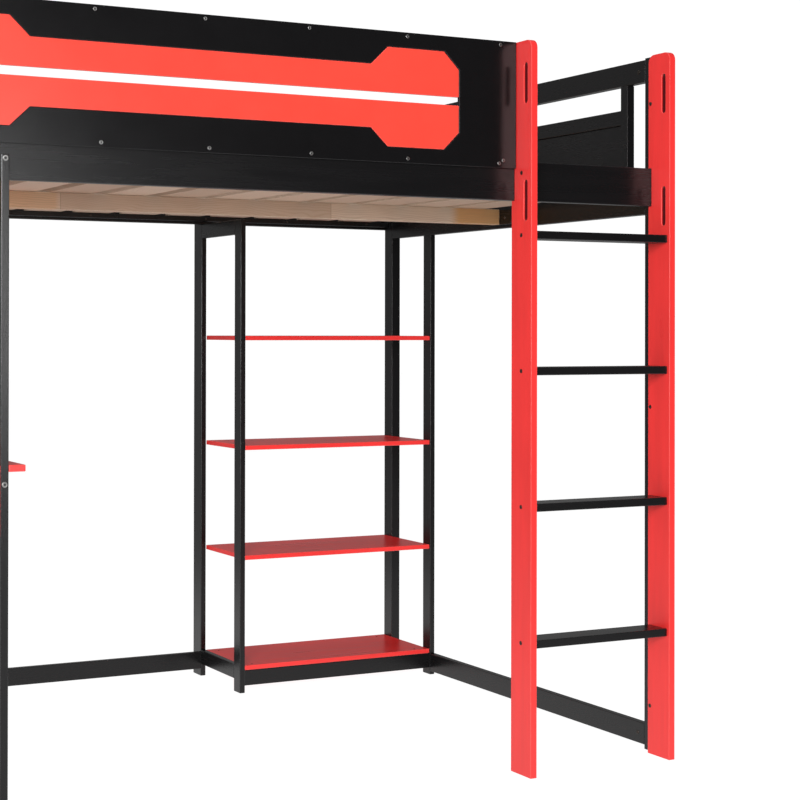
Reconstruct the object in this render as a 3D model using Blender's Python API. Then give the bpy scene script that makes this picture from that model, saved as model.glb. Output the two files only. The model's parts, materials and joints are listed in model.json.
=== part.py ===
"""Full-size loft bed with a ladder, a corner bookcase and a desk, built from painted boards and pine slats.

Metres, +Z up. The origin is on the floor under the middle of the bed. The ladder is at the front (-Y) near
the right end (+X), the bookcase fills the rear right corner, and the desk crosses the left end.
"""

import math

import bmesh
import bpy

# Overall sizes of the bed frame.
bed_length = 2.026
mattress_width = 1.364      # clear width between the two side rails
guard_top = 1.717           # top of the guard panel and of the four corner posts
rail_bottom = 1.345         # underside of the front side rail
touching = 0.0003           # play left between two pieces that meet
eased_edge = 0.0015         # sanded edge of every painted board
eased_steps = 2
sharp_angle = 40            # degrees: an edge sharper than this is eased
overshoot = 0.010           # how far a cutter runs past the board it cuts

# Side rails, the battens inside them, the middle beam and the slats that rest on all three.
rail_thickness = 0.022
rail_height = 0.093
rear_rail_height = 0.081
batten_width = 0.022
batten_height = 0.015
beam_width = 0.030
beam_height = 0.0423
beam_top = 1.3790
beam_end_play = 0.0165      # room at each end of the beam for the block that holds it
slat_thickness = 0.015
slat_width = 0.106
slat_pitch = 0.1448
slat_count = 13
slat_end_play = 0.003

# Corner posts and the two end guards.
corner_width = 0.029
corner_depth = 0.048
end_board = 0.022           # thickness of the boards between two corner posts
end_rail_height = 0.110
end_rail_bottom = 1.328
end_top_height = 0.055
end_top_drop = 0.004        # the end guard's top rail sits this far below the guard panel
end_middle_height = 0.037
end_middle_top = 1.597
stile_width = 0.028
stile_gap = 0.072           # opening between a corner post and the end guard's stile
end_panel_thickness = 0.009

# Guard panel with its dumbbell-shaped infill, cut in two by a long slit.
panel_thickness = 0.009
panel_overlap = 0.019       # how far the panel laps down over the side rail
infill_recess = 0.001
motif_length = 1.256
motif_offset = 0.005        # the motif sits this far right of the panel's middle
motif_height = 0.226
motif_chamfer = 0.040
head_length = 0.231         # one eight-sided head, measured along the band
neck_chamfer = 0.0432
band_height = 0.1436
slit_height = 0.019
cleat_thickness = 0.018
cleat_height = 0.032

# Rear guard: two long rails on uprights that stand inside the rear side rail.
rear_guard_height = 0.055
rear_guard_middle = 1.5205  # underside of its lower rail
rear_guard_foot = 1.396     # underside of its uprights
upright_width = 0.055
upright_count = 2

# Ladder.
stringer_thickness = 0.017
stringer_depth = 0.0837
stringer_top = 1.7165
stringer_housing = 0.0113   # depth of the notch that takes the side rail
stringer_round = 0.020
stringer_edge = 0.003       # the stringers are rounded over more than the other boards
round_top_steps = 6
ladder_width = 0.4163       # over both stringers
tread_thickness = 0.019
tread_depth = 0.0676
tread_count = 4
tread_pitch = 0.318
first_tread = 0.308         # floor to the middle of the lowest tread
slot_length = 0.096
slot_width = 0.015
slot_from_front = 0.0246
slot_heights = (1.343, 1.617)
slot_end_steps = 10

# Bookcase in the rear right corner.
bookcase_width = 0.6283     # between the outer face of its left frame and the right end frame
bookcase_depth = 0.287      # from its front posts' face to the rear side rail
bookcase_post = 0.016
front_post_depth = 0.043
crossbar_height = 0.042
crossbar_lift = 0.036
shelf_thickness = 0.013
shelf_setback = 0.003
shelf_count = 4
shelf_pitch = 0.315
lowest_shelf = 0.0645       # floor to the underside of the lowest shelf
plinth_height = 0.044
plinth_thickness = 0.018

# Legs that hook round a side rail from outside, at the desk and at the bookcase.
leg_thickness = 0.017
leg_hook = 0.036            # part of the leg outside the rail
desk_leg_top = 1.394
floor_rail_thickness = 0.018
floor_rail_height = 0.053
floor_rail_bottom = 0.0105
rear_floor_rail_height = 0.050
rear_floor_rail_bottom = 0.0215

# Desk across the left end.
desk_height = 0.7648
desktop_thickness = 0.014
desktop_depth = 0.3535      # along the bed, from the left corner posts to its free edge
desktop_overhang = 0.0355   # past the desk legs
desk_rail_height = 0.050
desk_rail_thickness = 0.018 # of the rail along the bed's end; the other one is as thick as the legs
desk_board_height = 0.130
desk_board_thickness = 0.016
desk_board_setback = 0.001
low_board_bottom = 0.010

red = (0.80, 0.045, 0.040, 1.0)
black = (0.016, 0.015, 0.016, 1.0)
pine = (0.62, 0.42, 0.25, 1.0)

# Planes that several pieces share, from the sizes above.
ladder_reach = stringer_depth - stringer_housing
bed_depth = ladder_reach + rail_thickness + mattress_width + rail_thickness + leg_hook
left_end, right_end = -bed_length / 2, bed_length / 2
left_inner = left_end + corner_width
right_inner = right_end - corner_width
front_face = -bed_depth / 2 + ladder_reach
front_inner = front_face + rail_thickness
rear_inner = front_inner + mattress_width
rear_face = rear_inner + rail_thickness
rail_top = rail_bottom + rail_height
rear_rail_bottom = rail_top - rear_rail_height
corner_rear = front_face + corner_depth
rear_corner_front = rear_inner - corner_depth
ladder_left = right_inner - touching - ladder_width
stringer_front = -bed_depth / 2
leg_depth = leg_hook + rail_thickness
leg_front = front_face - leg_hook


def paint(thing, colour, roughness=0.35):
    """Gives one part its own material."""
    material = bpy.data.materials.new(thing.name + "_finish")
    material.use_nodes = True
    shader = material.node_tree.nodes["Principled BSDF"]
    shader.inputs["Base Color"].default_value = colour
    shader.inputs["Roughness"].default_value = roughness
    shader.inputs["Metallic"].default_value = 0.0
    thing.data.materials.append(material)


def add_part(name, mesh):
    thing = bpy.data.objects.new(name, mesh)
    bpy.context.scene.collection.objects.link(thing)
    return thing


def add_board(name, x, y, z, colour):
    """A straight board between two corners, with its edges eased."""
    shape = bmesh.new()
    bmesh.ops.create_cube(shape, size=1.0)
    for corner in shape.verts:
        for axis, (low, high) in enumerate((x, y, z)):
            corner.co[axis] = high if corner.co[axis] > 0 else low
    ease_shape(shape, shape.edges[:])
    return finish(name, shape, colour)


def ease_shape(shape, edges):
    bmesh.ops.bevel(shape, geom=edges, offset=eased_edge, segments=eased_steps, profile=0.5,
                    affect="EDGES")


def finish(name, shape, colour):
    bmesh.ops.recalc_face_normals(shape, faces=shape.faces[:])
    mesh = bpy.data.meshes.new(name)
    shape.to_mesh(mesh)
    shape.free()
    thing = add_part(name, mesh)
    if colour:
        paint(thing, colour)
    return thing


def add_outline(name, outline, axis, low, high, colour, ease=True):
    """A board sawn to an outline. The outline holds the other two coordinates, in X, Y, Z order."""
    shape = bmesh.new()
    others = [number for number in range(3) if number != axis]
    corners = []
    for first, second in outline:
        place = [0.0, 0.0, 0.0]
        place[axis] = low
        place[others[0]], place[others[1]] = first, second
        corners.append(shape.verts.new(place))
    face = shape.faces.new(corners)
    grown = bmesh.ops.extrude_face_region(shape, geom=[face])
    shift = [0.0, 0.0, 0.0]
    shift[axis] = high - low
    moved = [item for item in grown["geom"] if isinstance(item, bmesh.types.BMVert)]
    bmesh.ops.translate(shape, verts=moved, vec=shift)
    bmesh.ops.recalc_face_normals(shape, faces=shape.faces[:])
    if ease:
        sharp = math.radians(sharp_angle)
        ease_shape(shape, [edge for edge in shape.edges if edge.calc_face_angle() > sharp])
    return finish(name, shape, colour)


def arc(centre, radius, start, end, steps):
    """Points on a round corner, angles in degrees."""
    angles = [math.radians(start + (end - start) * step / steps) for step in range(steps + 1)]
    return [(centre[0] + radius * math.cos(a), centre[1] + radius * math.sin(a)) for a in angles]


def cut(thing, cutter):
    """Takes the cutter out of the part and keeps the cutter as a hidden guide."""
    cutter.hide_render = True
    cutter.display_type = "WIRE"
    knife = thing.modifiers.new("cut_" + cutter.name, "BOOLEAN")
    knife.operation = "DIFFERENCE"
    knife.solver = "EXACT"
    knife.object = cutter


def ease_edges(thing, width=eased_edge):
    """Eases the edges that the cuts left sharp."""
    ease = thing.modifiers.new("eased_edges", "BEVEL")
    ease.width = width
    ease.segments = eased_steps
    ease.limit_method = "ANGLE"
    ease.angle_limit = math.radians(sharp_angle)


def add_rails():
    add_board("side_rail_front", (left_inner + touching, right_inner - touching),
              (front_face, front_inner), (rail_bottom, rail_top), black)
    add_board("side_rail_rear", (left_end, right_end), (rear_inner, rear_face),
              (rear_rail_bottom, rail_top), black)


def add_slats():
    between_ends = (left_inner + touching, right_inner - touching)
    sides = {"front": (front_inner + touching, front_inner + touching + batten_width),
             "rear": (rear_inner - touching - batten_width, rear_inner - touching)}
    for side, across in sides.items():
        add_board("slat_batten_" + side, between_ends, across, (beam_top - batten_height, beam_top), black)
    middle = (front_inner + rear_inner) / 2
    add_board("middle_beam", (left_inner + beam_end_play, right_inner - beam_end_play),
              (middle - beam_width / 2, middle + beam_width / 2), (beam_top - beam_height, beam_top), pine)
    first = -(slat_pitch * (slat_count - 1) + slat_width) / 2
    level = beam_top + touching
    for number in range(slat_count):
        start = first + slat_pitch * number
        add_board(f"slat_{number + 1:02d}", (start, start + slat_width),
                  (front_inner + slat_end_play, rear_inner - slat_end_play), (level, level + slat_thickness),
                  pine)


def add_corner_posts():
    spans = {"left": (left_end, left_inner), "right": (right_inner, right_end)}
    depths = {"front": (front_face, corner_rear), "rear": (rear_corner_front, rear_inner - touching)}
    for side, across in spans.items():
        for place, depth in depths.items():
            add_board(f"corner_post_{place}_{side}", across, depth, (0.0, guard_top), black)


def add_end_guard(side):
    """Lower rail, top rail, a frame of two stiles and a middle rail, and the thin panel inside it."""
    inner = left_inner if side == "left" else right_inner
    outward = -1 if side == "left" else 1
    across = tuple(sorted((inner, inner + outward * end_board)))
    front, rear = corner_rear + touching, rear_corner_front - touching
    lower = (end_rail_bottom, end_rail_bottom + end_rail_height)
    top = (guard_top - end_top_drop - end_top_height, guard_top - end_top_drop)
    add_board("end_rail_" + side, across, (front, rear), lower, black)
    add_board("end_top_rail_" + side, across, (front, rear), top, black)
    frame_front = front + stile_gap
    frame_rear = rear - stile_gap
    foot = lower[1] + touching
    head = top[0] - touching
    window_top = end_middle_top - end_middle_height
    inside_front, inside_rear = frame_front + stile_width, frame_rear - stile_width
    frame = [(frame_front, foot), (inside_front, foot), (inside_front, window_top), (inside_rear, window_top),
             (inside_rear, foot), (frame_rear, foot), (frame_rear, head), (inside_rear, head),
             (inside_rear, end_middle_top), (inside_front, end_middle_top), (inside_front, head),
             (frame_front, head)]
    add_outline("end_guard_frame_" + side, frame, 0, across[0], across[1], black)
    middle = sum(across) / 2
    add_board("end_panel_" + side, (middle - end_panel_thickness / 2, middle + end_panel_thickness / 2),
              (inside_front + touching, inside_rear - touching), (foot, window_top - touching), black)


def add_rear_guard():
    """One glued frame: the uprights reach down past the lower rail, and windows open between the rails."""
    left, right = left_inner + touching, right_inner - touching
    depth = (rear_inner - touching - end_board, rear_inner - touching)
    top = guard_top - end_top_drop
    pitch = (right - left) / (upright_count + 1)
    middles = [left + pitch * (number + 1) for number in range(upright_count)]
    outline = [(right, rear_guard_middle), (right, top), (left, top), (left, rear_guard_middle)]
    for middle in middles:
        near, far = middle - upright_width / 2, middle + upright_width / 2
        outline += [(near, rear_guard_middle), (near, rear_guard_foot), (far, rear_guard_foot),
                    (far, rear_guard_middle)]
    frame = add_outline("rear_guard_frame", outline, 1, depth[0], depth[1], black, ease=False)
    sill, head = rear_guard_middle + rear_guard_height, top - rear_guard_height
    edges = [left - overshoot] + [edge for middle in middles
                                  for edge in (middle - upright_width / 2, middle + upright_width / 2)]
    edges.append(right + overshoot)
    for number in range(upright_count + 1):
        near, far = edges[2 * number], edges[2 * number + 1]
        window = [(near, sill), (far, sill), (far, head), (near, head)]
        cutter = add_outline(f"rear_guard_window_{number + 1}", window, 1, depth[0] - overshoot,
                             depth[1] + overshoot, None, ease=False)
        cut(frame, cutter)
    ease_edges(frame)


def motif_half(middle, grow, slit):
    """One half of the dumbbell: from the slit up over a head, along the band and down the other head."""
    reach = motif_length / 2 + grow
    rise = motif_height / 2 + grow
    neck = motif_length / 2 - head_length - grow
    side = [(reach, slit), (reach, rise - motif_chamfer), (reach - motif_chamfer, rise),
            (neck + neck_chamfer, rise), (neck, band_height / 2 + grow)]
    half = side + [(-along, up) for along, up in reversed(side)]
    return [(middle + along, up) for along, up in half]


def add_guard():
    panel = (left_end, ladder_left - touching)
    panel_bottom = rail_top - panel_overlap
    depth = (front_face - touching - panel_thickness, front_face - touching)
    board = add_outline("guard_panel", [(panel[0], panel_bottom), (panel[1], panel_bottom),
                                        (panel[1], guard_top), (panel[0], guard_top)],
                        1, depth[0], depth[1], black, ease=False)
    middle = sum(panel) / 2 + motif_offset
    level = (panel_bottom + guard_top) / 2
    upper_edge = motif_half(middle, touching, 0.0)
    opening = [(x, level + z) for x, z in upper_edge]
    opening += [(x, level - z) for x, z in reversed(upper_edge)]
    opening = [point for number, point in enumerate(opening) if point != opening[number - 1]]
    cutter = add_outline("guard_opening", opening, 1, depth[0] - overshoot, depth[1] + overshoot, None,
                         ease=False)
    cut(board, cutter)
    ease_edges(board)
    upper = motif_half(middle, 0.0, slit_height / 2)
    infill_depth = (depth[0] + infill_recess, depth[1])
    add_outline("guard_infill_upper", [(x, level + z) for x, z in upper], 1, *infill_depth, red)
    add_outline("guard_infill_lower", [(x, level - z) for x, z in reversed(upper)], 1, *infill_depth, red)
    add_board("guard_top_cleat", (left_inner + touching, panel[1]),
              (front_face, front_face + cleat_thickness), (guard_top - cleat_height, guard_top), black)


def add_ladder():
    """Two stringers notched over the side rail, with treads let in between them."""
    rear = stringer_front + stringer_depth
    notch_front = rear - stringer_housing - touching
    notch = (rail_bottom - touching, rail_top + touching)
    outline = [(stringer_front, 0.0), (rear, 0.0), (rear, notch[0]), (notch_front, notch[0]),
               (notch_front, notch[1]), (rear, notch[1])]
    top_centre = stringer_top - stringer_round
    outline += arc((rear - stringer_round, top_centre), stringer_round, 0, 90, round_top_steps)
    outline += arc((stringer_front + stringer_round, top_centre), stringer_round, 90, 180, round_top_steps)
    starts = {"left": ladder_left, "right": ladder_left + ladder_width - stringer_thickness}
    slot_y = stringer_front + slot_from_front
    reach = (slot_length - slot_width) / 2
    for side, start in starts.items():
        end = start + stringer_thickness
        stringer = add_outline("ladder_stringer_" + side, outline, 0, start, end, red, ease=False)
        for number, height in enumerate(slot_heights):
            round_end = slot_width / 2
            slot = arc((slot_y, height + reach), round_end, 0, 180, slot_end_steps)
            slot += arc((slot_y, height - reach), round_end, 180, 360, slot_end_steps)
            cutter = add_outline(f"hand_slot_{side}_{number + 1}", slot, 0, start - overshoot,
                                 end + overshoot, None, ease=False)
            cut(stringer, cutter)
        ease_edges(stringer, stringer_edge)
    span = (ladder_left + stringer_thickness + touching, starts["right"] - touching)
    middle = stringer_front + stringer_depth / 2
    for number in range(tread_count):
        level = first_tread + number * tread_pitch
        add_board(f"ladder_tread_{number + 1}", span,
                  (middle - tread_depth / 2, middle + tread_depth / 2),
                  (level - tread_thickness / 2, level + tread_thickness / 2), black)


def hooked_leg(front, outward, top, rail_z):
    """Outline of a leg whose outer part passes its side rail, with the rail sitting in the notch."""
    outer = front
    inner = front - outward * leg_depth
    hook = front - outward * (leg_hook - touching)
    shoulder = rail_z - touching
    return [(outer, 0.0), (inner, 0.0), (inner, shoulder), (hook, shoulder), (hook, top), (outer, top)]


def add_bookcase():
    left = right_inner - bookcase_width
    front = rear_inner - bookcase_depth
    frame = (left, left + bookcase_post)
    rear_leg = hooked_leg(rear_face + leg_hook, 1, rail_top, rear_rail_bottom)
    add_outline("bookcase_post_rear_left", rear_leg, 0, frame[0], frame[1], black)
    right = (right_inner, right_inner + bookcase_post)
    frame_top = rear_rail_bottom - touching
    post_depth = (front, front + front_post_depth)
    add_board("bookcase_post_front_left", frame, post_depth, (0.0, frame_top), black)
    add_board("bookcase_post_front_right", right, post_depth, (0.0, end_rail_bottom - touching), black)
    between_posts = (front + front_post_depth + touching, rear_inner - touching)
    add_board("bookcase_top_bar", frame, between_posts, (frame_top - crossbar_height, frame_top), black)
    add_board("bookcase_bottom_bar", frame, between_posts,
              (crossbar_lift, crossbar_lift + crossbar_height), black)
    inside = (frame[1] + touching, right_inner - touching)
    plinth_top = lowest_shelf - touching
    add_board("bookcase_plinth", inside, (front + shelf_setback, front + shelf_setback + plinth_thickness),
              (plinth_top - plinth_height, plinth_top), black)
    for number in range(shelf_count):
        level = lowest_shelf + number * shelf_pitch
        add_board(f"shelf_{number + 1}", inside, (front + shelf_setback, rear_inner - touching),
                  (level, level + shelf_thickness), red)


def add_floor_rails():
    bookcase_left = right_inner - bookcase_width
    bookcase_front = rear_inner - bookcase_depth
    add_board("floor_rail_right", (right_inner, right_inner + floor_rail_thickness),
              (corner_rear + touching, bookcase_front - touching),
              (floor_rail_bottom, floor_rail_bottom + floor_rail_height), black)
    leg_right = left_inner + desktop_depth - desktop_overhang
    add_board("floor_rail_rear", (leg_right + touching, bookcase_left - touching),
              (rear_inner, rear_inner + floor_rail_thickness),
              (rear_floor_rail_bottom, rear_floor_rail_bottom + rear_floor_rail_height), black)


def add_desk():
    """Desktop on two cross rails, with red boards closing its front above and below the knee space."""
    leg = (left_inner + desktop_depth - desktop_overhang - leg_thickness,
           left_inner + desktop_depth - desktop_overhang)
    front_leg = hooked_leg(leg_front, -1, desk_leg_top, rail_bottom)
    rear_leg = hooked_leg(rear_face + leg_hook, 1, rail_top, rear_rail_bottom)
    add_outline("desk_leg_front", front_leg, 0, leg[0], leg[1], black)
    add_outline("desk_leg_rear", rear_leg, 0, leg[0], leg[1], black)
    underside = desk_height - desktop_thickness
    rail_z = (underside - touching - desk_rail_height, underside - touching)
    rail_y = (front_inner + touching, rear_inner - touching)
    add_board("desk_rail_right", leg, rail_y, rail_z, black)
    left, right = left_inner + touching, left_inner + desktop_depth
    rear = rear_inner - touching
    add_board("desk_rail_left", (left, left + desk_rail_thickness), rail_y, rail_z, black)
    notch_left, notch_right = leg[0] - touching, leg[1] + touching
    notch_rear = front_inner + touching
    desktop = [(left, leg_front), (notch_left, leg_front), (notch_left, notch_rear),
               (notch_right, notch_rear), (notch_right, leg_front), (right, leg_front), (right, rear),
               (left, rear)]
    add_outline("desktop", desktop, 2, underside, desk_height, red)
    board_front = leg_front + desk_board_setback
    board_y = (board_front, board_front + desk_board_thickness)
    boards = {"desk_apron": underside - touching - desk_board_height, "desk_low_board": low_board_bottom}
    for name, bottom in boards.items():
        add_board(name, (left, notch_left), board_y, (bottom, bottom + desk_board_height), red)


for leftover in list(bpy.data.objects):
    bpy.data.objects.remove(leftover, do_unlink=True)

add_rails()
add_slats()
add_corner_posts()
for end in ("left", "right"):
    add_end_guard(end)
add_rear_guard()
add_guard()
add_ladder()
add_bookcase()
add_floor_rails()
add_desk()
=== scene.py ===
"""Loft bed with a ladder, a corner bookcase and a desk: its paints, bare pine, screws and bolts.

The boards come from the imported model. Metres, +Z up, the floor at z = 0 and the ladder side towards -Y.
"""

import json
import math
from collections import namedtuple

import bmesh
import bpy
from mathutils import Matrix, Vector


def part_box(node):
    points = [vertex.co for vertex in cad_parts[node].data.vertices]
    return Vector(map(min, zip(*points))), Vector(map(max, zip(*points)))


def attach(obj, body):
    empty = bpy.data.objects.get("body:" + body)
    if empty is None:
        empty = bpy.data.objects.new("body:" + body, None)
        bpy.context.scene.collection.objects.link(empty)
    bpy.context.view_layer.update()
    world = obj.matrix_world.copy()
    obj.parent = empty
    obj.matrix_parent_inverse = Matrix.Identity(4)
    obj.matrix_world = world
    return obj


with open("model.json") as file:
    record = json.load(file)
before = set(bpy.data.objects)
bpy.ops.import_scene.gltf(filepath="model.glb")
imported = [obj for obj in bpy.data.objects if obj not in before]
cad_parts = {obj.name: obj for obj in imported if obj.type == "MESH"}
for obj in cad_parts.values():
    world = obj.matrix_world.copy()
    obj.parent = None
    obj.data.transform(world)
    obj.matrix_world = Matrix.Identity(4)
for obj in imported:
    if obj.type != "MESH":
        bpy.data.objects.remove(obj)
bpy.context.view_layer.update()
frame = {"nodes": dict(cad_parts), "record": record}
nodes = frame["nodes"]


# ---------------------------------------------------------------------------------------------------------
# The camera stands in front of the bed's left half at about chest height and looks level across it to the
# right. Its lens is shifted a little, so that the uprights stay parallel.
# ---------------------------------------------------------------------------------------------------------
camera = bpy.data.objects.new("camera", bpy.data.cameras.new("camera"))
bpy.context.scene.collection.objects.link(camera)
bpy.context.scene.camera = camera
camera.location = (-1.7006, -4.1652, 1.0375)
camera.rotation_euler = (math.radians(90.22), math.radians(-0.11), math.radians(-26.78))
camera.data.sensor_width = 36.0
camera.data.lens = 78.87
camera.data.shift_x = 0.100
camera.data.shift_y = -0.095


# ---------------------------------------------------------------------------------------------------------
# The two side rails are planed boards with two coats of black semi-gloss paint. The grain still shows
# through faintly along each board. The edges are lighter: partly thin paint, partly a painted highlight.
# ---------------------------------------------------------------------------------------------------------
class Wire:
    """One output of a node. Arithmetic on it adds the Math nodes that work it out."""

    def __init__(self, network, socket):
        self.network, self.socket = network, socket

    def math(self, operation, *values):
        return self.network.node("ShaderNodeMath", {"operation": operation}, dict(enumerate(values)))

    def __add__(self, other):
        return self.math("ADD", self, other)

    def __sub__(self, other):
        return self.math("SUBTRACT", self, other)

    def __rsub__(self, other):
        return self.math("SUBTRACT", other, self)

    def __mul__(self, other):
        return self.math("MULTIPLY", self, other)

    def __truediv__(self, other):
        return self.math("DIVIDE", self, other)

    def __pow__(self, power):
        return self.math("POWER", self, power)

    __radd__, __rmul__ = __add__, __mul__

    def after(self, operation):
        """The value after an operation on it alone, such as FLOOR."""
        return self.math(operation, self)

    def fade(self, low, high, start=0.0, end=1.0):
        """The start value below low, the end value above high, and a smooth step between."""
        steps = {"interpolation_type": "SMOOTHSTEP"}
        return self.network.node("ShaderNodeMapRange", steps, {0: self, 1: low, 2: high, 3: start, 4: end})


class Network:
    """A tree of nodes, to which one method adds any node and another feeds a socket."""

    def __init__(self, tree):
        self.tree = tree

    def node(self, kind, settings=None, inputs=None, output=0):
        made = self.tree.nodes.new(kind)
        for setting, value in (settings or {}).items():
            setattr(made, setting, value)
        for socket, value in (inputs or {}).items():
            self.feed(made.inputs[socket], value)
        return Wire(self, made.outputs[output])

    def feed(self, socket, value):
        if isinstance(value, Wire):
            self.tree.links.new(value.socket, socket)
        else:
            socket.default_value = value


class Finish(Network):
    """A material's nodes, which end in one Principled shader."""

    def __init__(self, name):
        self.material = bpy.data.materials.new(name)
        self.material.use_nodes = True
        super().__init__(self.material.node_tree)
        self.shader = self.tree.nodes["Principled BSDF"]

    def mix(self, share, first, second):
        return self.node("ShaderNodeMix", {"data_type": "RGBA"}, {0: share, 6: first, 7: second}, 2)

    def place(self):
        """Where a point is on the bed, in metres."""
        return self.node("ShaderNodeTexCoord", output="Object")

    def axes(self):
        """The place along X, Y and Z, each as a value of its own."""
        return [self.node("ShaderNodeSeparateXYZ", None, {0: self.place()}, number) for number in range(3)]

    def stretched(self, along, across_scale, along_scale):
        """The place, scaled so that a noise on it runs out into streaks along one axis."""
        scale = [along_scale if axis == along else across_scale for axis in "XYZ"]
        return self.node("ShaderNodeMapping", {"vector_type": "POINT"}, {0: self.place(), 3: scale})

    def noise(self, vector, scale, detail=3.0, roughness=0.55):
        values = {"Vector": vector, "Scale": scale, "Detail": detail, "Roughness": roughness}
        return self.node("ShaderNodeTexNoise", {"noise_dimensions": "3D"}, values)

    def edges(self, radius):
        """1 on the rounded edges of a board and 0 on its flat faces."""
        rounded = self.node("ShaderNodeBevel", {"samples": 4}, {"Radius": radius})
        flat = self.node("ShaderNodeNewGeometry", output="Normal")
        alike = self.node("ShaderNodeVectorMath", {"operation": "DOT_PRODUCT"}, {0: rounded, 1: flat}, 1)
        return (1.0 - alike).fade(0.01, 0.12)

    def bump(self, height, strength, distance):
        values = {"Strength": strength, "Distance": distance, "Height": height}
        self.feed(self.shader.inputs["Normal"], self.node("ShaderNodeBump", None, values))

    def base(self, colour):
        self.colour = colour
        self.feed(self.shader.inputs["Base Color"], colour)

    def roughness(self, value):
        self.feed(self.shader.inputs["Roughness"], value)

    def specular(self, level):
        self.shader.inputs["Specular IOR Level"].default_value = level


def toned(colour, factor):
    """The colour made lighter or darker, but no lighter than white."""
    return [min(1.0, value * factor) for value in colour[:3]] + [1.0]


def painted_wood(name, colour, wear_and_highlight, along, gloss, level):
    """Brushed paint on wood: faint grain, slow tone changes, edges lightened by thin paint and a painted
    highlight.
    """
    finish = Finish(name)
    grain = finish.noise(finish.stretched(along, 1.0, 0.035), 260.0, 4.0, 0.6)
    pores = finish.noise(finish.stretched(along, 1.0, 0.012), 900.0, 2.0)
    brushed = finish.noise(finish.stretched(along, 1.0, 0.10), 34.0, 2.0)
    slow = finish.noise(finish.place(), 2.3, 2.0)
    flow = finish.noise(finish.place(), 620.0, 2.0)
    shade = (slow * 0.6 + brushed * 0.4).fade(0.30, 0.70) + grain * 0.5
    painted = finish.mix(shade * 0.66, toned(colour, 0.90), toned(colour, 1.16))
    # The edges are mixed towards a lighter colour: partly wear, partly a painted highlight on the eased edges.
    finish.base(finish.mix(finish.edges(0.0020) * (0.45 + slow * 0.5), painted, wear_and_highlight))
    finish.roughness(gloss + (brushed - 0.5) * 0.10 + (slow - 0.5) * 0.06 + (grain - 0.5) * 0.05)
    finish.bump(grain * 0.55 + pores * 0.25 + flow * 0.20, 0.14, 0.0005)
    finish.specular(level)
    return finish


def give(material, *names):
    for name in names:
        for slot in nodes[name].material_slots:
            slot.material = material


black = (0.0036, 0.0033, 0.0037, 1.0)
# A lighter black for the edges: thinner paint there, and partly a painted highlight.
black_wear_and_highlight = (0.050, 0.049, 0.051, 1.0)


def black_paint(along):
    return painted_wood(f"black_paint_{along.lower()}", black, black_wear_and_highlight, along, 0.27, 0.42).material


black_x = black_paint("X")
give(black_x, "side_rail_front", "side_rail_rear")


# ---------------------------------------------------------------------------------------------------------
# Small battens, painted black, are screwed inside the side rails, and the ends of the slats lie on them.
# The screws are countersunk cross-head ones with a dark plating.
# ---------------------------------------------------------------------------------------------------------
give(black_x, "slat_batten_front", "slat_batten_rear")


def plated_steel(name, colour, gloss):
    """Plated steel: fine turning marks and a little dulling that darkens it in random patches."""
    finish = Finish(name)
    turned = finish.noise(finish.place(), 2600.0, 2.0)
    dulled = finish.noise(finish.place(), 160.0, 3.0)
    finish.base(finish.mix(dulled.fade(0.35, 0.70) * 0.35, colour, toned(colour, 0.55)))
    finish.roughness(gloss + (dulled - 0.5) * 0.18)
    finish.shader.inputs["Metallic"].default_value = 1.0
    finish.bump(turned, 0.15, 0.0001)
    return finish.material


def recess_finish():
    """The bottom of a socket: near-black painted shade over raw steel, with paint and dust in it."""
    finish = Finish("socket_recess")
    dust = finish.noise(finish.place(), 900.0, 3.0)
    # The steel colour is near black, painted shade in the socket. The dusty colour is dust.
    steel, dusty = (0.006, 0.006, 0.006, 1.0), (0.030, 0.028, 0.026, 1.0)
    finish.base(finish.mix(dust.fade(0.4, 0.7), steel, dusty))
    finish.roughness(0.55 + dust * 0.2)
    return finish.material


bright_plating = plated_steel("bright_plated_steel", (0.30, 0.295, 0.29, 1.0), 0.36)
dark_plating = plated_steel("dark_plated_steel", (0.085, 0.070, 0.060, 1.0), 0.38)
recess = recess_finish()
quarter_turn = math.radians(90)
facings = {"-Y": Matrix.Rotation(quarter_turn, 4, "X"), "+Y": Matrix.Rotation(-quarter_turn, 4, "X"),
           "-X": Matrix.Rotation(-quarter_turn, 4, "Y"), "+X": Matrix.Rotation(quarter_turn, 4, "Y"),
           "+Z": Matrix.Identity(4)}
# A fastener's head: its radius, how far it rises off the board, and its socket's radius and flat sides.
Head = namedtuple("Head", "radius rise socket sides plating")
round_steps = 24
smooth_bands = 3        # bands of faces from the foot of a head to its flat top
socket_band = 5         # the band that is the wall of the socket


def add_head(shape, place, facing, head):
    """One screw or bolt head with a socket in it. It stands on the board at the place, rising out of it."""
    turn = Matrix.Translation(place) @ facings[facing]

    def ring(reach, height, flats=0):
        points = []
        for number in range(round_steps):
            angle = math.tau * number / round_steps
            away = reach
            if flats:
                half_side = math.pi / flats
                sector = (angle + half_side) % (2 * half_side) - half_side
                away = reach * math.cos(half_side) / math.cos(sector)
            along = Vector((away * math.cos(angle), away * math.sin(angle), height))
            points.append(shape.verts.new(turn @ along))
        return points

    # From the foot up the rounded side, in over the flat top, and down into the socket.
    rings = [ring(head.radius, 0.0), ring(head.radius, head.rise * 0.45),
             ring(head.radius * 0.93, head.rise * 0.80), ring(head.radius * 0.80, head.rise),
             ring(head.socket * 1.10, head.rise), ring(head.socket, head.rise * 0.92, head.sides),
             ring(head.socket * 0.96, head.rise * 0.25, head.sides)]
    for band, (outer, inner) in enumerate(zip(rings, rings[1:])):
        for start in range(round_steps):
            end = (start + 1) % round_steps
            face = shape.faces.new((outer[start], outer[end], inner[end], inner[start]))
            face.smooth = band < smooth_bands
            face.material_index = 1 if band == socket_band else 0
    socket_floor = shape.faces.new(rings[-1])
    socket_floor.material_index = 1
    shape.faces.new(list(reversed(rings[0])))


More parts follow.
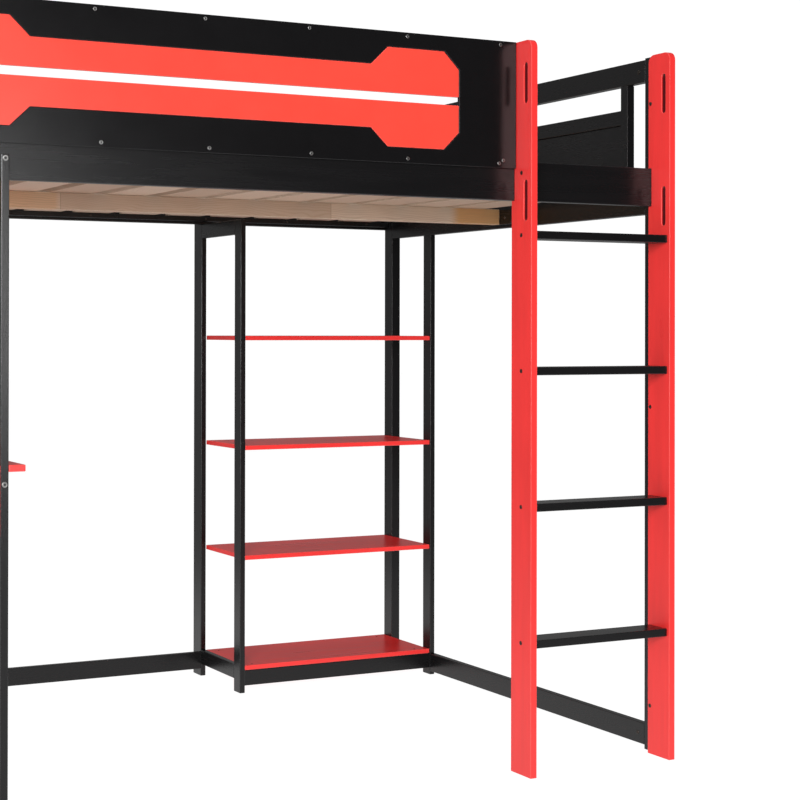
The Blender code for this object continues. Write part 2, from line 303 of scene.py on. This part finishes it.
def built(name, shape, *materials):
    """The object that a finished shape becomes, in the scene and with its materials."""
    mesh = bpy.data.meshes.new(name)
    shape.to_mesh(mesh)
    shape.free()
    for material in materials:
        mesh.materials.append(material)
    made = bpy.data.objects.new(name, mesh)
    bpy.context.scene.collection.objects.link(made)
    return made


def fasteners(name, places, facing, head):
    """Like screws or bolts in one group, each at its place on a board's face."""
    shape = bmesh.new()
    for place in places:
        add_head(shape, Vector(place), facing, head)
    bmesh.ops.recalc_face_normals(shape, faces=shape.faces[:])
    group = built(name, shape, head.plating, recess)
    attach(group, "root")


clear = 0.0002          # left between a head and the board that it stands on
batten_screw = Head(radius=0.0032, rise=0.0006, socket=0.0013, sides=4, plating=dark_plating)
batten_screw_places = (-0.908, -0.636, -0.362, -0.003, 0.360, 0.630, 0.906)
rear_batten_low, rear_batten_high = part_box("slat_batten_rear")
front_batten_low, front_batten_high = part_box("slat_batten_front")
batten_level = (rear_batten_low.z + rear_batten_high.z) / 2
fasteners("rear_batten_screws", [(x, rear_batten_low.y - clear, batten_level) for x in batten_screw_places],
          "-Y", batten_screw)
fasteners("front_batten_screws", [(x, front_batten_high.y + clear, batten_level) for x in batten_screw_places],
          "+Y", batten_screw)


# ---------------------------------------------------------------------------------------------------------
# The middle beam is finger-jointed pine, planed and left bare. Each block of it has its own tone, and the
# rings run out in long arcs. A black block, screwed to the end rail, holds each end.
# ---------------------------------------------------------------------------------------------------------
def bare_pine(name, along, block, phase, warm_ends=False):
    """Planed pine. The rings of a trunk cut lengthwise show as lines and long arcs, darker and harder.

    The wood changes with every block's length along X, which is a board of the beam or one slat.
    """
    finish = Finish(name)
    parts = dict(zip("XYZ", finish.axes()))
    length, across, height = parts[along], parts["Y" if along == "X" else "X"], parts["Z"]
    # Each block or slat comes from its own tree.
    counted = parts["X"] / block + phase
    number = counted.after("FLOOR")
    own = finish.node("ShaderNodeTexWhiteNoise", {"noise_dimensions": "1D"}, {"W": number + 0.37})
    tint = finish.node("ShaderNodeTexWhiteNoise", {"noise_dimensions": "1D"}, {"W": number + 7.91})
    strayed = {0: across + own * 3.0, 1: length * 0.55 + own * 9.0, 2: height}
    wander = finish.noise(finish.node("ShaderNodeCombineXYZ", None, strayed), 5.5, 3.0)
    # How far a point is from the tree's heart, and how many rings that makes.
    aside = across + (own - 0.5) * 0.16 + (wander - 0.5) * 0.11 + length * (tint - 0.5) * 0.05
    below = height * 1.6 + own * 0.04 - 2.15
    from_heart = (aside * aside + below * below) ** 0.5
    ring_width = 0.0052
    rings = from_heart / ring_width + wander * 1.5
    late = ((rings * math.tau).after("SINE") * 0.5 + 0.5) ** 3.0
    fibre = finish.noise(finish.stretched(along, 1.0, 0.02), 700.0, 3.0, 0.65)
    fleck = finish.noise(finish.stretched(along, 1.0, 0.12), 120.0, 2.0)
    pale, tan, brown = (0.72, 0.56, 0.43, 1.0), (0.56, 0.41, 0.30, 1.0), (0.41, 0.25, 0.145, 1.0)
    sanded_and_highlight, orange, glue = (0.86, 0.74, 0.59, 1.0), (0.68, 0.37, 0.155, 1.0), (0.20, 0.12, 0.07, 1.0)
    body = finish.mix(tint.fade(0.0, 1.0), pale, tan)
    if warm_ends:
        # Glued blocks: fresh orange wood at both ends, greyer wood between, and a thin line at each joint.
        left_end, right_end = 1.0 - length.fade(-0.335, -0.318), length.fade(0.80, 0.84)
        body = finish.mix(left_end * 0.55 + right_end, body, orange)
        body = finish.mix((1.0 - counted.after("FRACT").fade(0.0, 0.003)) * 0.7, body, glue)
    ringed = finish.mix(late * (0.14 + own * 0.22), body, brown)
    streaked = finish.mix((fibre * 0.6 + fleck * 0.4).fade(0.42, 0.72) * 0.22, ringed, brown)
    # The eased edges are made lighter: partly sanding, partly a painted highlight.
    finish.base(finish.mix(finish.edges(0.0022) * 0.9, streaked, sanded_and_highlight))
    finish.roughness(0.56 - late * 0.10 + (fibre - 0.5) * 0.16)
    finish.bump(fibre * 0.6 + late * 0.4, 0.30, 0.0005)
    finish.specular(0.35)
    return finish.material


beam_board, beam_phase = 0.754, 0.4233      # length of a glued board, and where along it the beam's middle is
give(bare_pine("bare_pine_beam", "X", beam_board, beam_phase, warm_ends=True), "middle_beam")
beam_low, beam_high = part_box("middle_beam")
block_reach = 0.060         # how far an end block runs past the beam on each side
block_corner = 0.006
block_edge = 0.0009
block_play = 0.0004         # between a block and the beam's end or the end rail
block_screw_inset = 0.034
block_screw_drop = 0.003    # below the middle of the block
block_screw = Head(radius=0.0035, rise=0.0006, socket=0.0014, sides=4, plating=bright_plating)
black_y = black_paint("Y")


def beam_block(name, side, near, far):
    """The block at one end of the beam, with its lower corners sawn off and its edges eased."""
    front, rear = beam_low.y - block_reach, beam_high.y + block_reach
    foot, top = beam_low.z - 0.0010, beam_high.z - 0.0003
    outline = [(front + block_corner, foot), (rear - block_corner, foot), (rear, foot + block_corner),
               (rear, top), (front, top), (front, foot + block_corner)]
    shape = bmesh.new()
    face = shape.faces.new([shape.verts.new((near, y, z)) for y, z in outline])
    grown = bmesh.ops.extrude_face_region(shape, geom=[face])
    moved = [item for item in grown["geom"] if isinstance(item, bmesh.types.BMVert)]
    bmesh.ops.translate(shape, verts=moved, vec=(far - near, 0.0, 0.0))
    bmesh.ops.recalc_face_normals(shape, faces=shape.faces[:])
    bmesh.ops.bevel(shape, geom=shape.edges[:], offset=block_edge, segments=2, profile=0.5, affect="EDGES")
    block = built(name, shape, black_y)
    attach(block, "root")
    level = (foot + top) / 2 - block_screw_drop
    places = [(near - side * clear, y, level) for y in (front + block_screw_inset, rear - block_screw_inset)]
    fasteners(name + "_screws", places, "-X" if side > 0 else "+X", block_screw)


right_rail_low, right_rail_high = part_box("end_rail_right")
left_rail_low, left_rail_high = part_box("end_rail_left")
beam_block("beam_block_right", 1, beam_high.x + block_play, right_rail_low.x - block_play)
beam_block("beam_block_left", -1, beam_low.x - block_play, left_rail_high.x + block_play)


# ---------------------------------------------------------------------------------------------------------
# The slats are bare pine boards laid across the bed, each from a different tree. Their eased edges are
# lighter, partly from sanding and partly a painted highlight.
# They rest on the battens and on the beam.
# ---------------------------------------------------------------------------------------------------------
slat_names = sorted(name for name in nodes if name.startswith("slat_") and "batten" not in name)
slat_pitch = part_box(slat_names[1])[0].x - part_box(slat_names[0])[0].x
give(bare_pine("bare_pine_slats", "Y", slat_pitch, 0.5), *slat_names)


# ---------------------------------------------------------------------------------------------------------
# Four corner posts stand from the floor to the top of the guards. They are black like the rails, and their
# grain runs upright.
# ---------------------------------------------------------------------------------------------------------
black_z = black_paint("Z")
give(black_z, *(f"corner_post_{place}_{side}" for place in ("front", "rear") for side in ("left", "right")))


# ---------------------------------------------------------------------------------------------------------
# An end guard closes each end of the bed: a lower and a top rail, a glued frame, and a thin panel in it.
# Connector bolts through the corner posts show their ends on the inside.
# ---------------------------------------------------------------------------------------------------------
connector_bolt = Head(radius=0.0048, rise=0.0010, socket=0.0022, sides=6, plating=dark_plating)
bolt_inset = 0.026
for side, facing in (("left", "+X"), ("right", "-X")):
    give(black_y, *(f"end_{part}_{side}" for part in ("rail", "top_rail", "guard_frame", "panel")))
    rails = [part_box("end_top_rail_" + side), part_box("end_rail_" + side)]
    inside = rails[0][1].x + clear if side == "left" else rails[0][0].x - clear
    places = [(inside, y, (low.z + high.z) / 2) for low, high in rails
              for y in (low.y + bolt_inset, high.y - bolt_inset)]
    fasteners(f"end_rail_bolts_{side}", places, facing, connector_bolt)


# ---------------------------------------------------------------------------------------------------------
# The rear guard is one glued frame, painted black: two long rails run along the bed, and the short uprights
# that carry them stand inside the rear side rail.
# ---------------------------------------------------------------------------------------------------------
give(black_x, "rear_guard_frame")


# ---------------------------------------------------------------------------------------------------------
# The guard panel is a thin black sheet, screwed to the side rail along its foot and to a cleat along its
# top. Two red boards fill its opening and leave a slit between them. Both are sprayed, so smoother.
# ---------------------------------------------------------------------------------------------------------
def sprayed_board(name, colour, wear_and_highlight, gloss):
    """Sprayed lacquer on fibreboard: no grain, a slight orange peel, and a slow change in gloss."""
    finish = Finish(name)
    peel = finish.noise(finish.place(), 480.0, 2.0)
    slow = finish.noise(finish.place(), 1.9, 2.0)
    cloud = finish.noise(finish.place(), 17.0, 3.0)
    shade = (slow * 0.7 + cloud * 0.3).fade(0.3, 0.7)
    sprayed = finish.mix(shade, toned(colour, 0.94), toned(colour, 1.10))
    # The edges go towards a lighter colour: partly wear, partly a painted highlight.
    finish.base(finish.mix(finish.edges(0.0020) * (0.4 + cloud * 0.5), sprayed, wear_and_highlight))
    finish.roughness(gloss + (slow - 0.5) * 0.08 + (cloud - 0.5) * 0.05)
    finish.bump(peel * 0.7 + cloud * 0.3, 0.12, 0.0005)
    finish.specular(0.42)
    return finish.material


red = (0.83, 0.034, 0.032, 1.0)
red_sprayed = (0.84, 0.056, 0.036, 1.0)
# A lighter red for the edges: thinner paint there, and partly a painted highlight.
red_wear_and_highlight = (0.90, 0.22, 0.19, 1.0)
give(sprayed_board("black_lacquer", black, black_wear_and_highlight, 0.22), "guard_panel")
give(sprayed_board("red_lacquer", red_sprayed, red_wear_and_highlight, 0.30), "guard_infill_upper", "guard_infill_lower")
give(black_x, "guard_top_cleat")

panel_low, panel_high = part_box("guard_panel")
panel_screw = Head(radius=0.0044, rise=0.0014, socket=0.0021, sides=6, plating=bright_plating)
# Each row: its height, its middle, and the distance from screw to screw.
panel_rows = ((panel_high.z - 0.0095, -0.2264, 0.2497), (panel_low.z + 0.0108, -0.2166, 0.2452))
panel_screw_places = [(middle + column * pitch, panel_low.y - clear, level)
                      for level, middle, pitch in panel_rows for column in range(-3, 4)]
# One more screw holds the lower corner beside the ladder.
panel_screw_places.append((panel_high.x - 0.0366, panel_low.y - clear, panel_low.z + 0.0181))
fasteners("guard_panel_screws", panel_screw_places, "-Y", panel_screw)


# ---------------------------------------------------------------------------------------------------------
# The ladder: two red stringers, rounded over all round, with hand slots, and black treads let in between.
# A bolt through each stringer holds each tread, and one more holds the side rail.
# ---------------------------------------------------------------------------------------------------------
def red_paint(along, name=None):
    return painted_wood(name or f"red_paint_{along.lower()}", red, red_wear_and_highlight, along, 0.30, 0.45)


# The red is painted dark inside the hand slots: this is painted shade in the recesses.
ladder_red = red_paint("Z", "red_paint_stringers")
slot_painted_shade = (0.10, 0.006, 0.008, 1.0)
# How far from a slot's middle the painted shade starts to fade and where it ends, along X, Y and Z.
slot_shade_fades = ((0.0045, 0.0060), (0.0076, 0.0079), (0.0481, 0.0486))
hand_slots = [opening["box_m"] for opening in frame["record"]["physics"]["openings"]
              if opening["name"].startswith("hand_slot_")]
ladder_axes = ladder_red.axes()
slot_shade_mask = 0.0
for slot_low, slot_high in hand_slots:
    inside = 1.0
    for axis, low, high, ends in zip(ladder_axes, slot_low, slot_high, slot_shade_fades):
        from_middle = (axis - (low + high) / 2).after("ABSOLUTE")
        inside = (1.0 - from_middle.fade(*ends)) * inside
    slot_shade_mask = inside + slot_shade_mask
# Darken the red inside the slots with the painted shade.
ladder_red.base(ladder_red.mix(slot_shade_mask, ladder_red.colour, slot_painted_shade))
give(ladder_red.material, "ladder_stringer_left", "ladder_stringer_right")
treads = sorted(name for name in nodes if name.startswith("ladder_tread_"))
give(black_x, *treads)

left_stringer, right_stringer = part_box("ladder_stringer_left"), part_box("ladder_stringer_right")
rail_low, rail_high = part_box("side_rail_front")
tread_bolt = Head(radius=0.0050, rise=0.0008, socket=0.0026, sides=6, plating=dark_plating)
post_bolt = Head(radius=0.0050, rise=0.0010, socket=0.0026, sides=6, plating=dark_plating)
tread_bolts = [((low.y + high.y) / 2, (low.z + high.z) / 2) for low, high in map(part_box, treads)]
rail_bolt = (left_stringer[0].y + 0.0415, rail_high.z - 0.030)
left_bolts = [(left_stringer[0].x - clear, y, z) for y, z in tread_bolts + [rail_bolt]]
right_bolts = [(right_stringer[1].x + clear, y, z) for y, z in tread_bolts]
fasteners("ladder_bolts_left", left_bolts, "-X", tread_bolt)
fasteners("ladder_bolts_right", right_bolts, "+X", tread_bolt)
# Three more bolts hold the right stringer to the corner post.
post_bolt_y = right_stringer[1].y - 0.0086
post_bolt_levels = (0.118, 0.852, 1.597)
post_bolts = [(right_stringer[0].x - clear, post_bolt_y, z) for z in post_bolt_levels]
fasteners("ladder_post_bolts", post_bolts, "-X", post_bolt)


# ---------------------------------------------------------------------------------------------------------
# The bookcase: a black frame and post carry red shelves, and a plinth closes the lowest one. Small screws
# go down through the corners of the lowest shelf.
# ---------------------------------------------------------------------------------------------------------
give(black_z, "bookcase_post_front_left", "bookcase_post_front_right", "bookcase_post_rear_left")
give(black_y, "bookcase_top_bar", "bookcase_bottom_bar")
give(black_x, "bookcase_plinth")
shelves = sorted(name for name in nodes if name.startswith("shelf_"))
red_x = red_paint("X").material
give(red_x, *shelves)
shelf_low, shelf_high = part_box(shelves[0])
shelf_screw = Head(radius=0.0030, rise=0.0005, socket=0.0013, sides=4, plating=dark_plating)
screw_xs = (shelf_low.x + 0.030, shelf_high.x - 0.043)
screw_ys = (shelf_low.y + 0.016, shelf_high.y - 0.030)
shelf_screws = [(x, y, shelf_high.z + clear) for x in screw_xs for y in screw_ys]
fasteners("lowest_shelf_screws", shelf_screws, "+Z", shelf_screw)


# ---------------------------------------------------------------------------------------------------------
# Floor rails tie the posts together along the rear and at the right end, a little off the floor. They are
# black, and a connector bolt shows at the front of the right one.
# ---------------------------------------------------------------------------------------------------------
give(black_x, "floor_rail_rear")
give(black_y, "floor_rail_right")
floor_rail_low, floor_rail_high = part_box("floor_rail_right")
floor_rail_level = (floor_rail_low.z + floor_rail_high.z) / 2
fasteners("floor_rail_bolt", [(floor_rail_low.x - clear, floor_rail_low.y + bolt_inset, floor_rail_level)],
          "-X", connector_bolt)


# ---------------------------------------------------------------------------------------------------------
# The desk crosses the left end: a red top on two black cross rails, legs that hook round the side rails,
# and red boards at its front. Bolts with bright rims go through the front leg.
# ---------------------------------------------------------------------------------------------------------
give(black_z, "desk_leg_front", "desk_leg_rear")
give(black_y, "desk_rail_left", "desk_rail_right")
red_y = red_paint("Y").material
give(red_y, "desktop")
give(red_x, "desk_apron", "desk_low_board")
leg_low, leg_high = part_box("desk_leg_front")
leg_middle = (leg_low.x + leg_high.x) / 2
leg_bolt = Head(radius=0.0062, rise=0.0014, socket=0.0030, sides=6, plating=bright_plating)
leg_bolt_levels = (leg_high.z - 0.009, 0.7254)
leg_bolts = [(leg_middle, leg_low.y - clear, z) for z in leg_bolt_levels]
fasteners("desk_leg_bolts", leg_bolts, "-Y", leg_bolt)


# ---------------------------------------------------------------------------------------------------------
# The room: a pale floor that runs out to a white surround, and large soft lamps, the strongest in front
# and to the left. Floor and surround look whiter than the light that they throw on the bed.
# ---------------------------------------------------------------------------------------------------------
def glow(network, seen_strength, lit_strength, kind="ShaderNodeEmission"):
    """Two strengths of light: one that is looked at, and a softer one that falls on the bed."""
    white = (1.0, 1.0, 1.0, 1.0)
    looked_at = network.node(kind, None, {"Color": white, "Strength": seen_strength})
    falling = network.node(kind, None, {"Color": white, "Strength": lit_strength})
    looking = network.node("ShaderNodeLightPath", output="Is Camera Ray")
    return network.node("ShaderNodeMixShader", None, {0: looking, 1: falling, 2: looked_at})


shape = bmesh.new()
bmesh.ops.create_circle(shape, cap_ends=True, segments=64, radius=40.0)
floor_paint = Finish("pale_floor")
away = floor_paint.node("ShaderNodeVectorMath", {"operation": "LENGTH"}, {0: floor_paint.place()}, 1)
lit = 0.20 + (1.0 - away.fade(1.4, 3.4)) * 0.50
cloud = floor_paint.noise(floor_paint.place(), 0.8)
floor_paint.base(floor_paint.mix(cloud, (0.10, 0.10, 0.10, 1.0), (0.12, 0.12, 0.12, 1.0)))
floor_paint.roughness(0.8)
painted_floor = Wire(floor_paint, floor_paint.shader.outputs[0])
lit_floor = floor_paint.node("ShaderNodeAddShader", None, {0: painted_floor, 1: glow(floor_paint, 0.97, lit)})
floor_paint.feed(floor_paint.tree.nodes["Material Output"].inputs["Surface"], lit_floor)
floor = built("floor", shape, floor_paint.material)
floor.location.z = -0.001

world = bpy.data.worlds.new("surround")
bpy.context.scene.world = world
world.use_nodes = True
surround = Network(world.node_tree)
direction = surround.node("ShaderNodeTexCoord", output="Generated")
to_right, to_rear = (surround.node("ShaderNodeSeparateXYZ", None, {0: direction}, axis) for axis in range(2))
# The room is darker in front and to the right than behind and to the left.
falling_light = (to_rear - to_right).fade(-1.1, 0.9, 0.07, 0.25)
surround.feed(surround.tree.nodes["World Output"].inputs["Surface"],
              glow(surround, 1.05, falling_light, "ShaderNodeBackground"))
bpy.context.scene.view_settings.view_transform = "Standard"


def soft_lamp(name, place, aim, size, watts):
    lamp = bpy.data.objects.new(name, bpy.data.lights.new(name, "AREA"))
    lamp.data.shape = "RECTANGLE"
    lamp.data.size, lamp.data.size_y = size
    lamp.data.energy = watts
    lamp.location = place
    lamp.rotation_euler = (Vector(aim) - Vector(place)).to_track_quat("-Z", "Y").to_euler()
    bpy.context.scene.collection.objects.link(lamp)


soft_lamp("front_left_lamp", (-3.8, -6.8, 2.6), (0.0, 0.0, 1.0), (3.0, 3.0), 610.0)
soft_lamp("low_front_lamp", (0.15, -5.4, 1.20), (-0.2, 0.0, 1.1), (0.9, 1.2), 42.0)
soft_lamp("overhead_lamp", (0.0, 0.4, 5.2), (0.0, 0.0, 0.0), (4.5, 4.5), 95.0)
